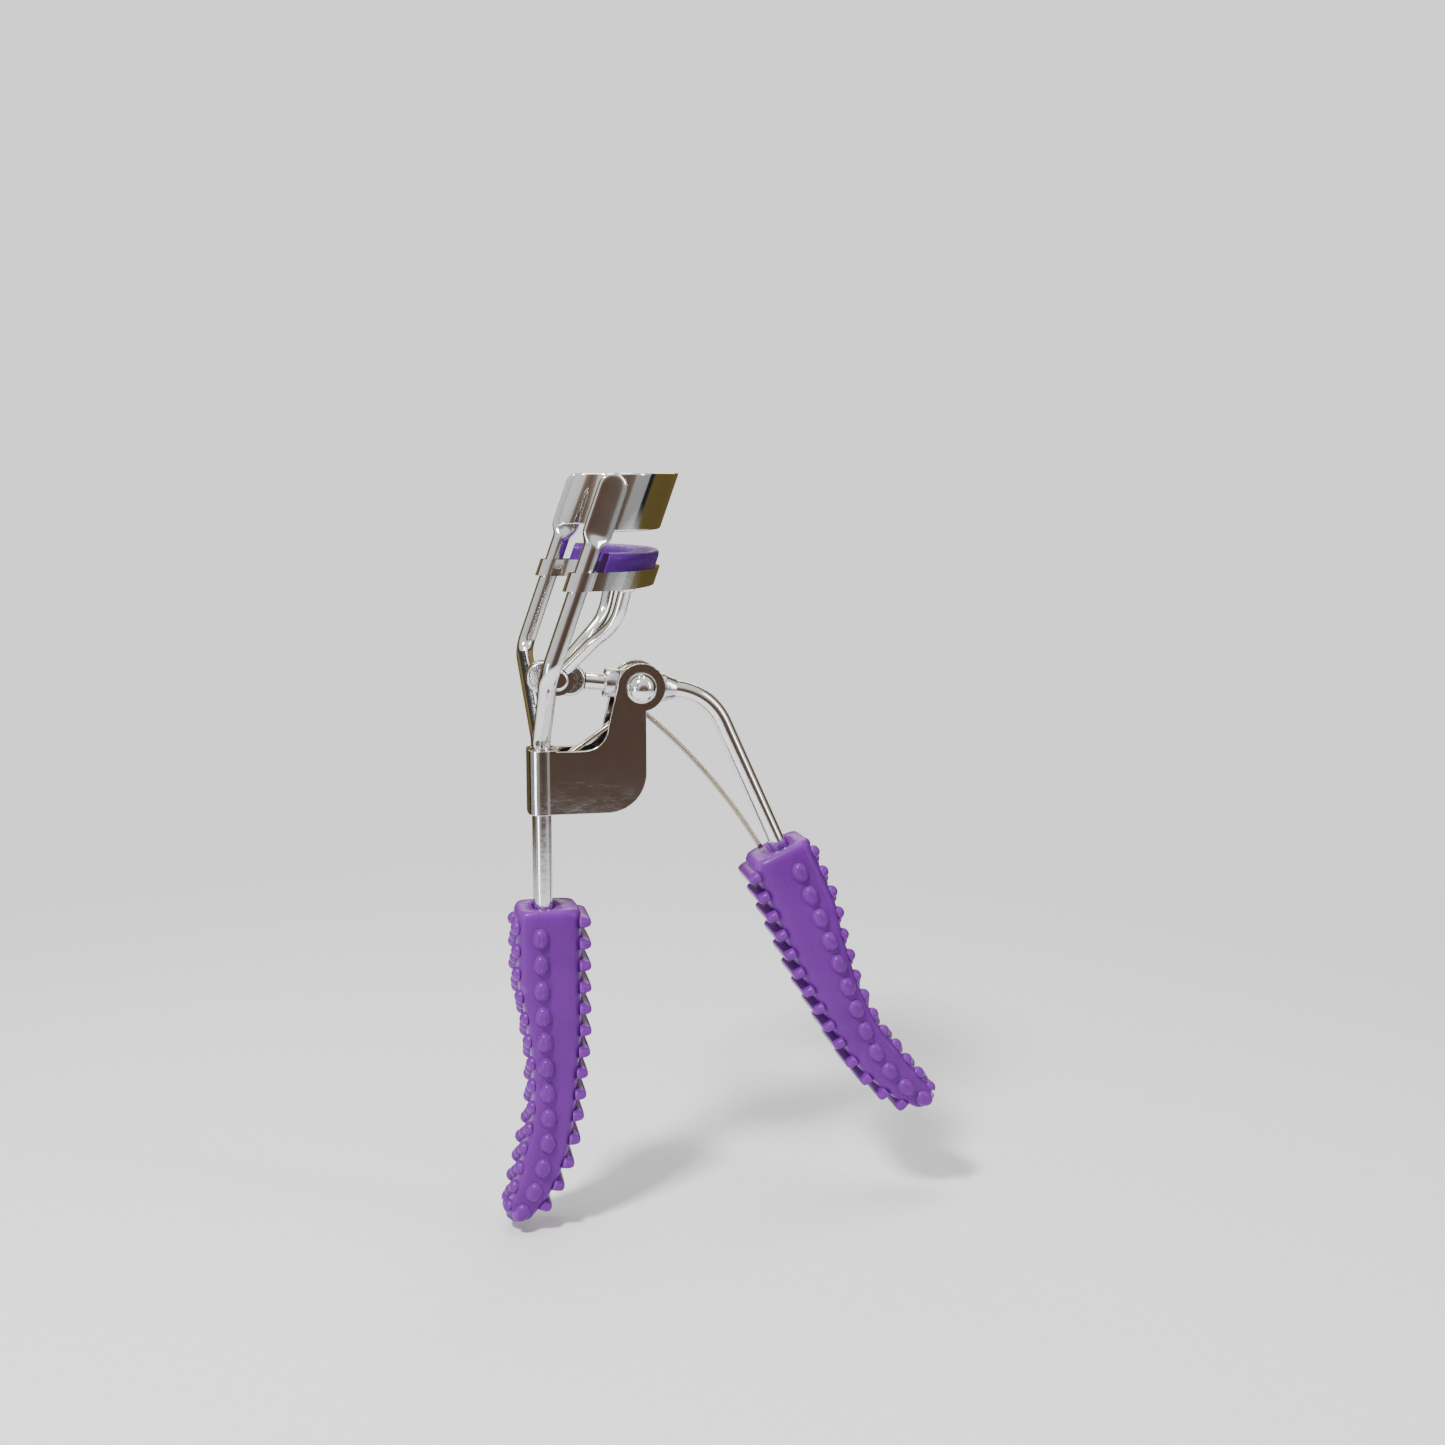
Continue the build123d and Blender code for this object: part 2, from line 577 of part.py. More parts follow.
frame_mouth = Plane(origin=(0, 0, 0), x_dir=(-1, 0, 0), z_dir=(0, 0, 1))
lever_mouth = Plane(origin=LEVER_MOUTH, x_dir=LEVER_OUT, z_dir=-LEVER_DOWN)
finish(build_grip(frame_mouth, frame_wires), "frame_grip")
finish(build_grip(lever_mouth, [lever_wire.part]), "lever_grip")
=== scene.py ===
"""Looks for the eyelash curler: bright plated wires and jaws, and beaded purple grips.

Lengths in the geometry code are millimetres in the part's own frame, and point() turns
them into metres. +Z runs up the shank, +X points to the lever handle, Y crosses the jaws.
"""

import json
from math import asin, copysign, cos, pi, radians, sin, sqrt, tan

import bmesh
import bpy
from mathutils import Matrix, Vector

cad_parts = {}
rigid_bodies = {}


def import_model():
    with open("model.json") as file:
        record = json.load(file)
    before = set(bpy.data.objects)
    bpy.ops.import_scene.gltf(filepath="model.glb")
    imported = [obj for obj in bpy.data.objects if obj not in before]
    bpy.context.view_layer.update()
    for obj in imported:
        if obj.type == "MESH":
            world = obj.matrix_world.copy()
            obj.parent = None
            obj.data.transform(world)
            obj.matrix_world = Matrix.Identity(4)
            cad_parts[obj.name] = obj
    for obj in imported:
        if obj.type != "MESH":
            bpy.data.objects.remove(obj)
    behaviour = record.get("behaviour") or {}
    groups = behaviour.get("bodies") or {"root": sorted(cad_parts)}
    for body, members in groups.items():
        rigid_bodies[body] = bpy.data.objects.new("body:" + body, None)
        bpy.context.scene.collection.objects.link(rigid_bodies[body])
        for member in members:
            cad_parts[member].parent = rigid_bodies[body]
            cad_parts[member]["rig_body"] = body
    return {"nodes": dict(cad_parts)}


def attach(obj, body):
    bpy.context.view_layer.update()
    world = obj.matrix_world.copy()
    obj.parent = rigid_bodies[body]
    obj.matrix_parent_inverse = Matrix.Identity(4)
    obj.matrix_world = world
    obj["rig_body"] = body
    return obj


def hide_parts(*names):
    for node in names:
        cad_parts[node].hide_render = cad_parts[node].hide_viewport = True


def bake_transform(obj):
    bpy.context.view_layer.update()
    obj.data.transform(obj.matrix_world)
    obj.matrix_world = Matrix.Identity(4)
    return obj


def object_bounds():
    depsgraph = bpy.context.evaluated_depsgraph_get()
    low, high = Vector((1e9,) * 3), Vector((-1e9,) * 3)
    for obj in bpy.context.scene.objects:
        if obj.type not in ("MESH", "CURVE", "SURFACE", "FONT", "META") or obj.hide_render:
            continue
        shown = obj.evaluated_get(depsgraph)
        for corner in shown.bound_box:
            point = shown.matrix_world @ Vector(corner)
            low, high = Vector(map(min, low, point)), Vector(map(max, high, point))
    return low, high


MM = 0.001

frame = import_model()
cad_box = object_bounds()
NODES = frame["nodes"]

# ------------------------------------------------------------------ part dimensions (mm)
WIRE_R = 1.25
WIRE_Y = 1.27
KINK = (-0.6, 34.6)
RAIL_Y = 18.5
RAIL_TOP = 60.6
LEAN = radians(19.5)
SPREAD_Z = 23.7
WIRE_END = -31.0
JAW_R, JAW_END_R, JAW_CORNER_X, JAW_FLANGE = 26.0, 5.0, 1.2115, 1.3
JAW_SPAN = 17.45
PIVOT = Vector((13.9, 0, 31.0))
LEVER = radians(24.2)
LEVER_DOWN = Vector((sin(LEVER), 0, -cos(LEVER)))
LEVER_OUT = Vector((cos(LEVER), 0, sin(LEVER)))
LEVER_MOUTH = Vector((34.18, 0, 7.2))


def rail_x(z):
    return KINK[0] + (z - KINK[1]) * tan(LEAN)


# ------------------------------------------------------------------ materials
def new_material(name):
    material = bpy.data.materials.new(name)
    material.use_nodes = True
    tree = material.node_tree
    return material, tree, tree.nodes["Principled BSDF"]


def texture(tree, kind, scale, **inputs):
    """A 3-D texture node in object space, so its grain has a real size."""
    place = tree.nodes.new("ShaderNodeTexCoord")
    node = tree.nodes.new(kind)
    node.inputs["Scale"].default_value = scale
    for key, value in inputs.items():
        node.inputs[key].default_value = value
    tree.links.new(place.outputs["Object"], node.inputs["Vector"])
    return node


def ramp(tree, source, stops):
    node = tree.nodes.new("ShaderNodeValToRGB")
    elements = node.color_ramp.elements
    while len(elements) < len(stops):
        elements.new(0.5)
    for element, (at, colour) in zip(elements, stops):
        element.position = at
        element.color = (*colour, 1) if len(colour) == 3 else colour
    tree.links.new(source, node.inputs["Fac"])
    return node.outputs["Color"]


def grey(value):
    return (value, value, value)


def multiply(tree, first, second):
    """Colour product of two outputs."""
    node = tree.nodes.new("ShaderNodeMix")
    node.data_type = "RGBA"
    node.blend_type = "MULTIPLY"
    node.inputs["Factor"].default_value = 1.0
    tree.links.new(first, node.inputs["A"])
    tree.links.new(second, node.inputs["B"])
    return node.outputs["Result"]


def bump(tree, shader, layers):
    """Stack bump layers (height output, strength, distance in metres) onto the shader."""
    normal = None
    for height, strength, distance in layers:
        node = tree.nodes.new("ShaderNodeBump")
        node.inputs["Strength"].default_value = strength
        node.inputs["Distance"].default_value = distance
        tree.links.new(height, node.inputs["Height"])
        if normal:
            tree.links.new(normal, node.inputs["Normal"])
        normal = node.outputs["Normal"]
    tree.links.new(normal, shader.inputs["Normal"])


def plated(name, colour, rough, ripple, mottle=0.0, scratch=0.25):
    """Bright plated steel: faint ripple, fine scratches and small pits in the plating."""
    material, tree, shader = new_material(name)
    shader.inputs["Metallic"].default_value = 1.0
    shader.inputs["Specular IOR Level"].default_value = 0.5
    cloud = texture(tree, "ShaderNodeTexNoise", 420.0, Detail=4.0, Roughness=0.55)
    fine = texture(tree, "ShaderNodeTexNoise", 5200.0, Detail=3.0, Roughness=0.6)
    pits = texture(tree, "ShaderNodeTexVoronoi", 1900.0, Randomness=1.0)
    dark = tuple(c * (0.93 - 0.35 * mottle) for c in colour)
    tint = ramp(tree, cloud.outputs["Fac"], [(0.3, dark), (0.7, colour)])
    tree.links.new(tint, shader.inputs["Base Color"])
    spread = rough * (0.5 + mottle)
    smoothest = max(0.02, rough - spread / 2)
    worn = ramp(tree, fine.outputs["Fac"], [(0.35, grey(smoothest)), (0.75, grey(rough + spread))])
    tree.links.new(worn, shader.inputs["Roughness"])
    pit = ramp(tree, pits.outputs["Distance"], [(0.0, grey(0.0)), (0.09, grey(1.0))])
    bump(
        tree,
        shader,
        [
            (cloud.outputs["Fac"], ripple, 0.00012),
            (fine.outputs["Fac"], scratch, 0.000006),
            (pit, 0.15 + mottle * 0.4, 0.000012),
        ],
    )
    return material


def soft_plastic(name, painted_shade, body, light, rough, grain):
    """Glossy soft plastic: painted shade in hollows and painted highlight on ridges, faint cloudiness and a
    moulded skin.
    """
    material, tree, shader = new_material(name)
    cloud = texture(tree, "ShaderNodeTexNoise", 160.0, Detail=5.0, Roughness=0.6)
    skin = texture(tree, "ShaderNodeTexNoise", 2600.0, Detail=4.0, Roughness=0.65)
    cells = texture(tree, "ShaderNodeTexVoronoi", 3600.0, Randomness=1.0)
    geometry = tree.nodes.new("ShaderNodeNewGeometry")
    # painted shade and painted highlight: the colour goes darker where the surface is concave and lighter
    # where it is convex, read from Pointiness
    painted_shade_and_highlight = ramp(tree, geometry.outputs["Pointiness"], [(0.40, painted_shade), (0.5, body), (0.60, light)])
    patch = ramp(tree, cloud.outputs["Fac"], [(0.3, grey(0.88)), (0.7, grey(1.06))])
    tree.links.new(multiply(tree, painted_shade_and_highlight, patch), shader.inputs["Base Color"])
    gloss = ramp(tree, skin.outputs["Fac"], [(0.3, grey(rough - 0.06)), (0.75, grey(rough + 0.1))])
    tree.links.new(gloss, shader.inputs["Roughness"])
    shader.inputs["Subsurface Weight"].default_value = 0.08
    shader.inputs["Subsurface Radius"].default_value = (0.0012, 0.0006, 0.0014)
    shader.inputs["Subsurface Scale"].default_value = 0.6
    shader.inputs["IOR"].default_value = 1.5
    shader.inputs["Specular IOR Level"].default_value = 0.15
    shader.inputs["Coat Weight"].default_value = 0.03
    shader.inputs["Coat Roughness"].default_value = 0.12
    bump(
        tree,
        shader,
        [(skin.outputs["Fac"], grain, 0.00004), (cells.outputs["Distance"], grain * 0.6, 0.00001)],
    )
    return material


STEEL = plated("plated_wire", (0.80, 0.80, 0.81), 0.07, 0.20)
JAW = plated("plated_jaw", (0.83, 0.83, 0.83), 0.06, 0.16)
BRACKET = plated("plated_sheet", (0.74, 0.73, 0.73), 0.09, 0.22)
RIVET = plated("plated_rivet", (0.82, 0.82, 0.84), 0.05, 0.10)
HUB = plated("plated_hub", (0.74, 0.75, 0.76), 0.17, 0.75, mottle=0.55)
SPRING = plated("spring_wire", (0.42, 0.37, 0.28), 0.24, 0.20, mottle=0.2, scratch=0.6)
# each triple: painted shade for hollows, the plastic's own colour, painted highlight for ridges
GRIP_PAINTED_SHADE_TONES = (0.085, 0.010, 0.165), (0.118, 0.014, 0.225), (0.175, 0.030, 0.315)
PAD_PAINTED_SHADE_TONES = (0.040, 0.004, 0.110), (0.060, 0.006, 0.158), (0.085, 0.012, 0.210)
GRIP = soft_plastic("grip_plastic", *GRIP_PAINTED_SHADE_TONES, 0.30, 0.10)
PAD = soft_plastic("pad_silicone", *PAD_PAINTED_SHADE_TONES, 0.40, 0.08)


# ------------------------------------------------------------------ mesh helpers
def point(v):
    return Vector(v) * MM


def make_object(name, verts, faces, material, body, replaced):
    """Smooth mesh in millimetres that stands for the replaced nodes and rides on body, if one is given."""
    mesh = bpy.data.meshes.new(name)
    mesh.from_pydata([point(v) for v in verts], [], faces)
    mesh.validate()
    bm = bmesh.new()
    bm.from_mesh(mesh)
    bmesh.ops.recalc_face_normals(bm, faces=bm.faces)
    bm.to_mesh(mesh)
    bm.free()
    mesh.polygons.foreach_set("use_smooth", [True] * len(mesh.polygons))
    obj = bpy.data.objects.new(name, mesh)
    bpy.context.scene.collection.objects.link(obj)
    mesh.materials.append(material)
    if body:
        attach(obj, body)
    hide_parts(*replaced)
    return obj


def fillet_path(points, radii, steps):
    """Straight runs joined by true arcs, as a list of points."""
    points = [Vector(p) for p in points]
    path = [points[0]]
    for i, r in enumerate(radii, 1):
        a, b, c = points[i - 1], points[i], points[i + 1]
        into, out = (a - b).normalized(), (c - b).normalized()
        half = into.angle(out) / 2
        reach = r / tan(half)
        centre = b + (into + out).normalized() * (r / sin(half))
        start, end = b + into * reach - centre, b + out * reach - centre
        sweep = start.angle(end)
        for k in range(steps + 1):
            t = k / steps
            path.append(centre + (start * sin((1 - t) * sweep) + end * sin(t * sweep)) / sin(sweep))
    path.append(points[-1])
    return path


def densify(path, step):
    """Split long runs so that the section can change along them."""
    out = [path[0]]
    for a, b in zip(path, path[1:]):
        n = max(1, round((b - a).length / step))
        out += [a + (b - a) * (k / n) for k in range(1, n + 1)]
    return out


def sweep_mesh(path, section, sides):
    """Tube along a path. section(distance, angle) gives the offset along each side axis."""
    verts, faces = [], []
    side = Vector((0, 1, 0))
    distance = 0.0
    for i, p in enumerate(path):
        ahead = (path[min(i + 1, len(path) - 1)] - path[max(i - 1, 0)]).normalized()
        side = (side - ahead * side.dot(ahead)).normalized()
        other = ahead.cross(side)
        if i:
            distance += (p - path[i - 1]).length
        for k in range(sides):
            u, v = section(distance, 2 * pi * k / sides)
            verts.append(p + side * u + other * v)
    for i in range(len(path) - 1):
        for k in range(sides):
            n = (k + 1) % sides
            faces.append((i * sides + k, i * sides + n, (i + 1) * sides + n, (i + 1) * sides + k))
    faces.append(tuple(reversed(range(sides))))
    faces.append(tuple(range((len(path) - 1) * sides, len(path) * sides)))
    return verts, faces


def round_section(radius):
    return lambda distance, a: (radius * cos(a), radius * sin(a))


def squared(value, power):
    """Power that keeps the sign; below 1 it squares off a circle's sine and cosine."""
    return copysign(abs(value) ** power, value)


def smoothstep(lo, hi, x):
    t = min(1.0, max(0.0, (x - lo) / (hi - lo)))
    return t * t * (3 - 2 * t)


# ------------------------------------------------------------------ frame wires with paddles
PADDLE_LOW, PADDLE_R, PADDLE_HALF_T = 52.0, 1.95, 0.6
PADDLE_EASE = 0.95  # half the run over which the wire flattens, above the shut jaw's lug


def frame_wire(name, side, node):
    path = fillet_path(
        [
            (0, side * WIRE_Y, WIRE_END),
            (0, side * WIRE_Y, SPREAD_Z),
            (KINK[0], side * RAIL_Y, KINK[1]),
            (rail_x(RAIL_TOP - 0.02), side * RAIL_Y, RAIL_TOP - 0.02),
        ],
        (2.0, 3.4),
        20,
    )
    path = densify(path, 0.35)
    lengths = [0.0]
    for a, b in zip(path, path[1:]):
        lengths.append(lengths[-1] + (b - a).length)
    total = lengths[-1]
    flat_len = (RAIL_TOP - PADDLE_LOW) / cos(LEAN)

    def section(distance, a):
        left = total - distance
        flat = 1 - smoothstep(flat_len - PADDLE_EASE, flat_len + PADDLE_EASE, left)
        end = sqrt(max(0.0, 1 - (1 - min(1.0, left / PADDLE_R)) ** 2))
        wide = WIRE_R + (PADDLE_R - WIRE_R) * flat
        thick = WIRE_R + (PADDLE_HALF_T - WIRE_R) * flat
        edge = 0.78 + 0.22 * sqrt(end)
        u = thick * edge * squared(cos(a), 1 - 0.55 * flat)
        v = wide * max(end, 0.04) * squared(sin(a), 1 - 0.25 * flat)
        return u, v

    verts, faces = sweep_mesh(path, section, 40)
    return make_object(name, verts, faces, STEEL, "frame", [node])


frame_wire("wire_front", -1, "rail_wire_front")
frame_wire("wire_back", 1, "rail_wire_back")


# ------------------------------------------------------------------ jaw bands
JAW_REACH = JAW_R - JAW_END_R
JAW_TURN = asin((JAW_SPAN - JAW_END_R) / JAW_REACH)
JAW_BULGE = JAW_CORNER_X + JAW_R - JAW_REACH * cos(JAW_TURN)


def jaw_line(from_x, crown_steps=56, corner_steps=16):
    """Plan of the jaw's middle line with its outward normal, from one end to the other."""
    line = []
    end_y = JAW_SPAN - JAW_END_R
    for k in range(corner_steps + 1):
        a = -pi / 2 + (pi / 2 - JAW_TURN) * k / corner_steps
        n = Vector((cos(a), sin(a), 0))
        line.append((Vector((JAW_CORNER_X, -end_y, 0)) + n * JAW_END_R, n))
    for k in range(1, crown_steps):
        a = -JAW_TURN + 2 * JAW_TURN * k / crown_steps
        n = Vector((cos(a), sin(a), 0))
        line.append((Vector((JAW_BULGE - JAW_R, 0, 0)) + n * JAW_R, n))
    for k in range(corner_steps + 1):
        a = JAW_TURN + (pi / 2 - JAW_TURN) * k / corner_steps
        n = Vector((cos(a), sin(a), 0))
        line.append((Vector((JAW_CORNER_X, end_y, 0)) + n * JAW_END_R, n))
    low, high = line[0], line[-1]
    line.insert(0, (Vector((-JAW_FLANGE, low[0].y, 0)), low[1]))
    line.append((Vector((-JAW_FLANGE, high[0].y, 0)), high[1]))
    kept = []
    for (a, na), (b, nb) in zip(line, line[1:]):
        if a.x >= from_x:
            kept.append((a, na))
        if (a.x - from_x) * (b.x - from_x) < 0:
            t = (from_x - a.x) / (b.x - a.x)
            kept.append((a.lerp(b, t), na.lerp(nb, t).normalized()))
    if line[-1][0].x >= from_x:
        kept.append(line[-1])
    return kept


def band(line, profile):
    """Sweep a closed (outward, height) profile along a jaw line; heights run up the rails."""
    verts, faces = [], []
    n = len(profile)
    for p, normal in line:
        for out, z in profile:
            verts.append(Vector((p.x + rail_x(z), p.y, z)) + normal * out)
    for i in range(len(line) - 1):
        for k in range(n):
            m = (k + 1) % n
            faces.append((i * n + k, i * n + m, (i + 1) * n + m, (i + 1) * n + k))
    faces.append(tuple(reversed(range(n))))
    faces.append(tuple(range((len(line) - 1) * n, len(line) * n)))
    return verts, faces


def rounded_profile(corners, radii, steps=5):
    """Closed (outward, height) outline with each corner rounded by its own radius."""
    out = []
    n = len(corners)
    for i, r in enumerate(radii):
        a, b, c = (Vector(corners[(i + k) % n]) for k in (-1, 0, 1))
        into, away = (a - b).normalized(), (c - b).normalized()
        if r <= 0:
            out.append(tuple(b))
            continue
        for k in range(steps + 1):
            t = k / steps
            p = b + into * r * (1 - t) ** 2 + away * r * t**2
            out.append(tuple(p))
    return out


def edge_soften(obj, width, angle):
    """Small bevels with weighted normals, so edges catch the light."""
    bevel = obj.modifiers.new("soft_edges", "BEVEL")
    bevel.width = width * MM
    bevel.segments = 3
    bevel.limit_method = "ANGLE"
    bevel.angle_limit = radians(angle)
    bevel.harden_normals = False
    normals = obj.modifiers.new("normals", "WEIGHTED_NORMAL")
    normals.keep_sharp = True


upper_profile = rounded_profile(
    [(-0.45, 53.1), (0.45, 53.1), (0.45, 60.6), (-0.45, 60.6)], (0.28, 0.28, 0.28, 0.28)
)
verts, faces = band(jaw_line(-JAW_FLANGE), upper_profile)
make_object("jaw_upper", verts, faces, JAW, "frame", ["upper_jaw"])

PAD_END_CLEAR = 0.2
pad_line = jaw_line(PADDLE_R / cos(LEAN) + PAD_END_CLEAR)
pad_profile = rounded_profile(
    [(-1.54, 46.32), (1.54, 46.32), (1.54, 50.4), (-1.54, 50.4)], (0.3, 0.3, 1.15, 1.15), 8
)
verts, faces = band(pad_line, pad_profile)
pad = make_object("pad", verts, faces, PAD, "lower_jaw", ["lash_pad"])
edge_soften(pad, 0.35, 50)


# ------------------------------------------------------------------ grips
TRANSVERSE, RIB_PITCH, RIB_START = 14, 3.15, 1.9
DOTS, DOT_PITCH, DOT_START = 12, 3.75, 3.8
NUBS, NUB_PITCH, NUB_START = 14, 3.3, 2.4
GRIP_LENGTH = 47.3
BEND_START, BEND_R = 31.0, 24.0  # the grip's tip curves away from here
BOX_POWER = 0.42  # how square the grip's section is
LAST_DOT, LAST_NUB, SMALL_NUBS = 45.0, 45.6, 44.0
BURIED = 0.35  # how far below the skin a bump starts


def table(pairs):
    """Smooth curve through (distance, size) pairs, monotone between them."""

    def at(s):
        if s <= pairs[0][0]:
            return pairs[0][1]
        for (s0, v0), (s1, v1) in zip(pairs, pairs[1:]):
            if s <= s1:
                return v0 + (v1 - v0) * smoothstep(s0, s1, s) * 0.5 + (v1 - v0) * 0.5 * (s - s0) / (s1 - s0)
        return pairs[-1][1]

    return at


outer_body = table(
    [(0, 4.0), (10, 4.0), (17, 2.8), (23, 2.1), (29, 2.2), (36, 3.2), (41, 2.8), (45, 2.1), (47.3, 0.9)]
)
inner_body = table([(0, 5.1), (18, 5.0), (27, 4.2), (34, 3.4), (40, 2.7), (45, 2.0), (47.3, 0.8)])
half_body = table(
    [(0, 4.4), (12, 4.45), (20, 4.4), (27, 4.1), (34, 3.9), (41, 3.7), (45.5, 2.9), (47.3, 1.0)]
)


def grip_frame(mouth, down, out, s):
    """Centre, outward and downward directions at a distance s from the grip's mouth."""
    turn = max(0.0, s - BEND_START) / BEND_R
    along = min(s, BEND_START) + BEND_R * sin(turn)
    aside = BEND_R * (1 - cos(turn))
    here_out = out * cos(turn) - down * sin(turn)
    here_down = down * cos(turn) + out * sin(turn)
    return mouth + down * along + out * aside, here_out, here_down


def rounded_box_section(outer, inner, half, sides):
    """Points (outward, sideways) round a rounded rectangle, evenly by angle."""
    width, middle = (outer + inner) / 2, (outer - inner) / 2
    out = []
    for k in range(sides):
        a = 2 * pi * (k + 0.5) / sides
        out.append((middle + width * squared(cos(a), BOX_POWER), half * squared(sin(a), BOX_POWER)))
    return out


def nub(verts, faces, centre, axes, height, half_long, half_wide, rings=8, sides=20, blunt=1.0):
    """Domed oval bump. It starts below the skin so that it grows out of the body."""
    up, long, wide = axes
    base = len(verts)
    for r in range(rings):
        t = r / (rings - 1)
        rise = -BURIED + (height + BURIED) * sin(t * pi / 2)
        inset = half_wide * (1 - max(0.05, cos(t * pi / 2) ** (0.9 * blunt)))
        for k in range(sides):
            a = 2 * pi * k / sides
            x = (half_long - inset) * squared(cos(a), blunt)
            y = (half_wide - inset) * squared(sin(a), blunt)
            verts.append(centre + up * rise + long * x + wide * y)
    for r in range(rings - 1):
        low, high = base + r * sides, base + (r + 1) * sides
        for k in range(sides):
            n = (k + 1) % sides
            faces.append((low + k, low + n, high + n, high + k))
    faces.append(tuple(base + (rings - 1) * sides + k for k in range(sides)))
    faces.append(tuple(base + k for k in reversed(range(sides))))


def build_grip(name, mouth, down, out, body, node):
    across = Vector((0, 1, 0))
    verts, faces = [], []
    sides, rows = 64, 110
    for i in range(rows + 1):
        s = GRIP_LENGTH * i / rows
        centre, here_out, _ = grip_frame(mouth, down, out, s)
        lip = 1 - 0.10 * (1 - smoothstep(0.0, 0.7, s))
        outline = rounded_box_section(outer_body(s) * lip, inner_body(s) * lip, half_body(s) * lip, sides)
        for o, y in outline:
            verts.append(centre + here_out * o + across * y)
    for i in range(rows):
        for k in range(sides):
            n = (k + 1) % sides
            faces.append((i * sides + k, i * sides + n, (i + 1) * sides + n, (i + 1) * sides + k))
    faces.append(tuple(rows * sides + k for k in range(sides)))
    # mouth: flat cut end with a pocket where the wires go in
    pocket = []
    for depth, wide, tall in ((0.0, 1.7, 2.75), (0.9, 1.55, 2.6)):
        ring = len(verts)
        centre, here_out, here_down = grip_frame(mouth, down, out, 0.0)
        for k in range(sides):
            a = 2 * pi * (k + 0.5) / sides
            notch = 1 - 0.05 * (k % 2)
            x = wide * notch * squared(cos(a), 0.6)
            y = tall * notch * squared(sin(a), 0.6)
            verts.append(centre + here_out * x + across * y + here_down * depth)
        pocket.append(ring)
    for k in range(sides):
        n = (k + 1) % sides
        faces.append((n, k, pocket[0] + k, pocket[0] + n))
        faces.append((pocket[0] + n, pocket[0] + k, pocket[1] + k, pocket[1] + n))
    faces.append(tuple(pocket[1] + k for k in reversed(range(sides))))
    # transverse ribs on the inner face, with rounded ends
    for i in range(TRANSVERSE):
        s = RIB_START + RIB_PITCH * i
        centre, here_out, here_down = grip_frame(mouth, down, out, s)
        half = half_body(s)
        axes = (-here_out, across, here_down)
        nub(verts, faces, centre - here_out * inner_body(s), axes, 1.3, half * 1.02, 0.98, 9, 28, 0.55)
    # oval dots in a row on the front and back faces
    for i in range(DOTS):
        s = min(DOT_START + DOT_PITCH * i, LAST_DOT)
        centre, here_out, here_down = grip_frame(mouth, down, out, s)
        shift = 0.75 * (1 - smoothstep(8, 30, s))
        for side in (-1, 1):
            foot = centre + here_out * shift + across * (side * half_body(s))
            nub(verts, faces, foot, (across * side, here_down, here_out), 0.84, 1.55, 1.22)
    # three rows of round nubs down the outer face, closer together at the end
    for i in range(NUBS):
        s = NUB_START + NUB_PITCH * i
        for row in (-1, 0, 1):
            at = min(s + (0 if row else NUB_PITCH / 2), LAST_NUB)
            centre, here_out, here_down = grip_frame(mouth, down, out, at)
            foot = centre + here_out * outer_body(at) + across * (row * half_body(at) * 0.62)
            tall = 0.85 if at < SMALL_NUBS else 0.6
            nub(verts, faces, foot, (here_out, here_down, across), tall, 1.05, 1.05)
    return make_object(name, verts, faces, GRIP, body, [node])


build_grip("grip_frame", Vector((0, 0, 0)), Vector((0, 0, -1)), Vector((-1, 0, 0)), "frame", "frame_grip")
build_grip("grip_lever", LEVER_MOUTH, LEVER_DOWN, LEVER_OUT, "lever", "lever_grip")

# ------------------------------------------------------------------ carried-over CAD nodes
LOOKS = {
    "clamp_bracket": BRACKET,
    "pivot_rivet": RIVET,
    "lever_wire": STEEL,
    "pivot_hub": HUB,
    "crank_ferrule": HUB,
    "lever_ferrule": HUB,
    "crank_arm": STEEL,
    "crank_eye": HUB,
    "lower_jaw": JAW,
    "push_rod_front": STEEL,
    "push_rod_back": STEEL,
    "link_pin": RIVET,
}
SOFT_EDGES = {
    "clamp_bracket": 0.13,
    "pivot_hub": 0.22,
    "crank_ferrule": 0.22,
    "lever_ferrule": 0.18,
    "crank_eye": 0.45,
}
for node, material in LOOKS.items():
    mesh = NODES[node].data
    mesh.materials.clear()
    mesh.materials.append(material)
for node, width in SOFT_EDGES.items():
    copy = NODES[node].data.copy()
    bm = bmesh.new()
    bm.from_mesh(copy)
    bmesh.ops.remove_doubles(bm, verts=bm.verts, dist=0.002 * MM)
    bmesh.ops.dissolve_limit(bm, angle_limit=radians(1.0), verts=bm.verts, edges=bm.edges)
    bm.to_mesh(copy)
    bm.free()
    copy.polygons.foreach_set("use_smooth", [True] * len(copy.polygons))
    soft = bpy.data.objects.new("soft_" + node, copy)
    bpy.context.scene.collection.objects.link(soft)
    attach(soft, NODES[node]["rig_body"])
    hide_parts(node)
    edge_soften(soft, width, 40)

# ------------------------------------------------------------------ return spring
SPRING_R, COIL_R, COIL_PITCH, COIL_NEAR_Y = 0.35, 2.45, 0.72, 0.45
SPRING_EXIT, SPRING_TURN = radians(230), radians(645)
SPRING_BOW_AT, SPRING_BOW_R, SPRING_FOOT = 14.2, 80.0, (31.6, 0, 7.0)
COIL_STEPS = 130
COIL_FAR_Y = COIL_NEAR_Y + COIL_PITCH * SPRING_TURN / (2 * pi)


def coil_point(angle, y):
    return PIVOT + Vector((COIL_R * cos(angle), y, COIL_R * sin(angle)))


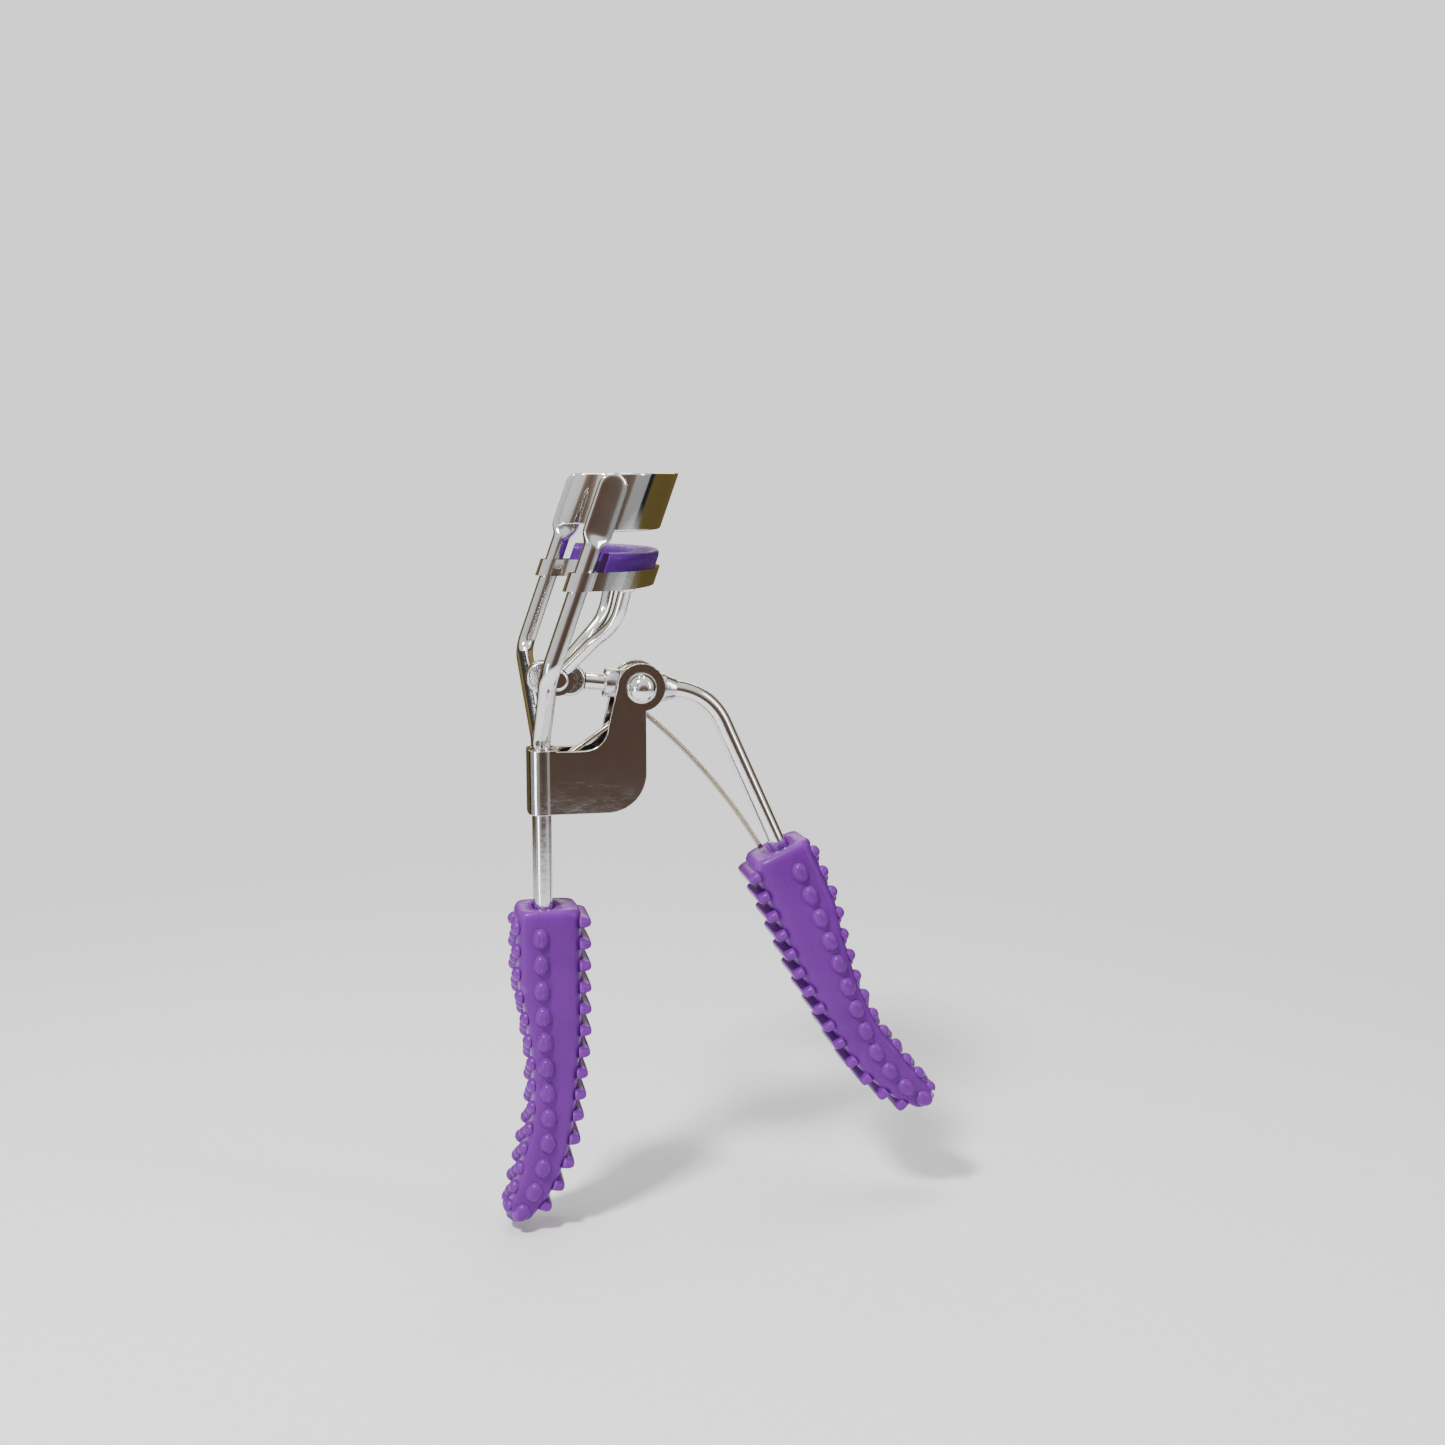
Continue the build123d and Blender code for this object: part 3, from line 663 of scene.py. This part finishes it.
def build_spring():
    """Short leg on the wires, coil round the pivot, long bowed leg into the lever grip."""
    entry = SPRING_EXIT - SPRING_TURN
    leg_in, leg_out = coil_point(entry, COIL_FAR_Y), coil_point(SPRING_EXIT, COIL_NEAR_Y)
    in_dir = Vector((sin(entry), 0, -cos(entry)))
    out_dir = Vector((-sin(SPRING_EXIT), -COIL_PITCH / (2 * pi * COIL_R), cos(SPRING_EXIT)))
    reach = (leg_in.x - WIRE_R - 2 * SPRING_R) / -in_dir.x
    path = densify([leg_in + in_dir * reach, leg_in], 0.5)
    for k in range(1, COIL_STEPS + 1):
        share = k / COIL_STEPS
        path.append(coil_point(entry + SPRING_TURN * share, COIL_FAR_Y + (COIL_NEAR_Y - COIL_FAR_Y) * share))
    bow = fillet_path([leg_out, leg_out + out_dir * SPRING_BOW_AT, SPRING_FOOT], (SPRING_BOW_R,), 24)
    path += densify(bow, 0.6)[1:]
    verts, faces = sweep_mesh(path, round_section(SPRING_R), 16)
    spring = make_object("spring", verts, faces, SPRING, None, ["return_spring"])
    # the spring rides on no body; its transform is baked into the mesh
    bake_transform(spring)


build_spring()

# ------------------------------------------------------------------ floor, light and camera
scene = bpy.context.scene
low = Vector(cad_box[0])
floor_z = low.z - 0.0004

floor_mesh = bpy.data.meshes.new("floor")
bm = bmesh.new()
bmesh.ops.create_circle(bm, cap_ends=True, segments=96, radius=0.36)
bm.to_mesh(floor_mesh)
bm.free()
floor = bpy.data.objects.new("floor", floor_mesh)
floor.location = (0.02, 0.0, floor_z)
scene.collection.objects.link(floor)
material, tree, shader = new_material("floor_paper")
paper = texture(tree, "ShaderNodeTexNoise", 600.0, Detail=3.0)
tree.links.new(
    ramp(tree, paper.outputs["Fac"], [(0.3, grey(0.84)), (0.7, grey(0.88))]), shader.inputs["Base Color"]
)
shader.inputs["Roughness"].default_value = 0.9
spot = tree.nodes.new("ShaderNodeTexCoord")
reach = tree.nodes.new("ShaderNodeVectorMath")
reach.operation = "LENGTH"
tree.links.new(spot.outputs["Object"], reach.inputs[0])
fade = tree.nodes.new("ShaderNodeMapRange")
fade.interpolation_type = "SMOOTHSTEP"
for key, value in (("From Min", 0.12), ("From Max", 0.33), ("To Min", 1.0), ("To Max", 0.0)):
    fade.inputs[key].default_value = value
tree.links.new(reach.outputs["Value"], fade.inputs["Value"])
tree.links.new(fade.outputs["Result"], shader.inputs["Alpha"])
floor_mesh.materials.append(material)

world = bpy.data.worlds.new("studio")
scene.world = world
world.use_nodes = True
tree = world.node_tree
back = tree.nodes["Background"]
place = tree.nodes.new("ShaderNodeTexCoord")
split_xyz = tree.nodes.new("ShaderNodeSeparateXYZ")
tree.links.new(place.outputs["Generated"], split_xyz.inputs["Vector"])
# a studio seen only by reflections: bright overhead, grey sides, a dark warm wall in front
height = ramp(
    tree,
    split_xyz.outputs["Z"],
    [(0.0, grey(0.40)), (0.42, grey(0.62)), (0.52, grey(0.86)), (0.64, grey(1.35)), (1.0, grey(1.7))],
)
lift = tree.nodes.new("ShaderNodeMapRange")
lift.inputs["From Min"].default_value = -1.0
tree.links.new(split_xyz.outputs["Z"], lift.inputs["Value"])
tree.links.new(lift.outputs["Result"], height.node.inputs["Fac"])
toward = tree.nodes.new("ShaderNodeVectorMath")
toward.operation = "DOT_PRODUCT"
toward.inputs[1].default_value = (0.12, -0.985, -0.12)
tree.links.new(place.outputs["Generated"], toward.inputs[0])
wall = ramp(
    tree,
    toward.outputs["Value"],
    [(0.80, grey(1.0)), (0.87, (0.42, 0.32, 0.26)), (1.0, (0.27, 0.170, 0.124))],
)
# behind the part a dark ring round a dull gold card gives round metal its dark edges
behind = tree.nodes.new("ShaderNodeVectorMath")
behind.operation = "DOT_PRODUCT"
behind.inputs[1].default_value = (0.17, 0.98, -0.08)
tree.links.new(place.outputs["Generated"], behind.inputs[0])
card = ramp(
    tree,
    behind.outputs["Value"],
    [
        (0.12, grey(1.0)),
        (0.22, grey(0.06)),
        (0.42, grey(0.06)),
        (0.56, (0.38, 0.28, 0.09)),
        (1.0, (0.30, 0.22, 0.07)),
    ],
)
studio = multiply(tree, multiply(tree, height, wall), card)
# the backdrop itself is plain and pale
rays = tree.nodes.new("ShaderNodeLightPath")
seen = tree.nodes.new("ShaderNodeMix")
seen.data_type = "RGBA"
tree.links.new(rays.outputs["Is Camera Ray"], seen.inputs["Factor"])
shiny = tree.nodes.new("ShaderNodeMix")
shiny.data_type = "RGBA"
tree.links.new(rays.outputs["Is Glossy Ray"], shiny.inputs["Factor"])
shiny.inputs["A"].default_value = (0.46, 0.46, 0.48, 1)
tree.links.new(studio, shiny.inputs["B"])
tree.links.new(shiny.outputs["Result"], seen.inputs["A"])
seen.inputs["B"].default_value = (2.1, 2.1, 2.1, 1)
tree.links.new(seen.outputs["Result"], back.inputs["Color"])
back.inputs["Strength"].default_value = 0.62


def softbox(name, place_at, aim, size, power, colour=(1, 1, 1)):
    lamp = bpy.data.lights.new(name, "AREA")
    lamp.shape = "RECTANGLE"
    lamp.size, lamp.size_y = size
    lamp.energy = power
    lamp.color = colour
    obj = bpy.data.objects.new(name, lamp)
    obj.location = place_at
    obj.rotation_euler = (Vector(aim) - Vector(place_at)).to_track_quat("-Z", "Y").to_euler()
    scene.collection.objects.link(obj)


MIDDLE = (0.018, 0.0, 0.010)
softbox("key", (-0.20, -0.22, 0.40), MIDDLE, (0.07, 0.07), 3.7)
softbox("fill", (0.42, -0.26, 0.20), MIDDLE, (0.08, 0.36), 0.8)
softbox("top", (0.02, 0.02, 0.55), MIDDLE, (0.26, 0.26), 1.6)
softbox("low", (-0.34, -0.20, -0.01), MIDDLE, (0.10, 0.20), 0.5)
softbox("rear", (0.10, 0.46, 0.26), MIDDLE, (0.40, 0.22), 0.9, (1.0, 0.94, 0.84))

camera_data = bpy.data.cameras.new("camera")
camera_data.sensor_width = 36.0
camera_data.lens = 43.6
camera_data.clip_start = 0.01
camera = bpy.data.objects.new("camera", camera_data)
scene.collection.objects.link(camera)
eye, target = Vector((-22.87, -242.14, 60.55)) * MM, Vector((25.66, -1.46, 25.6)) * MM
camera.location = eye
camera.rotation_euler = (target - eye).to_track_quat("-Z", "Y").to_euler()
scene.camera = camera
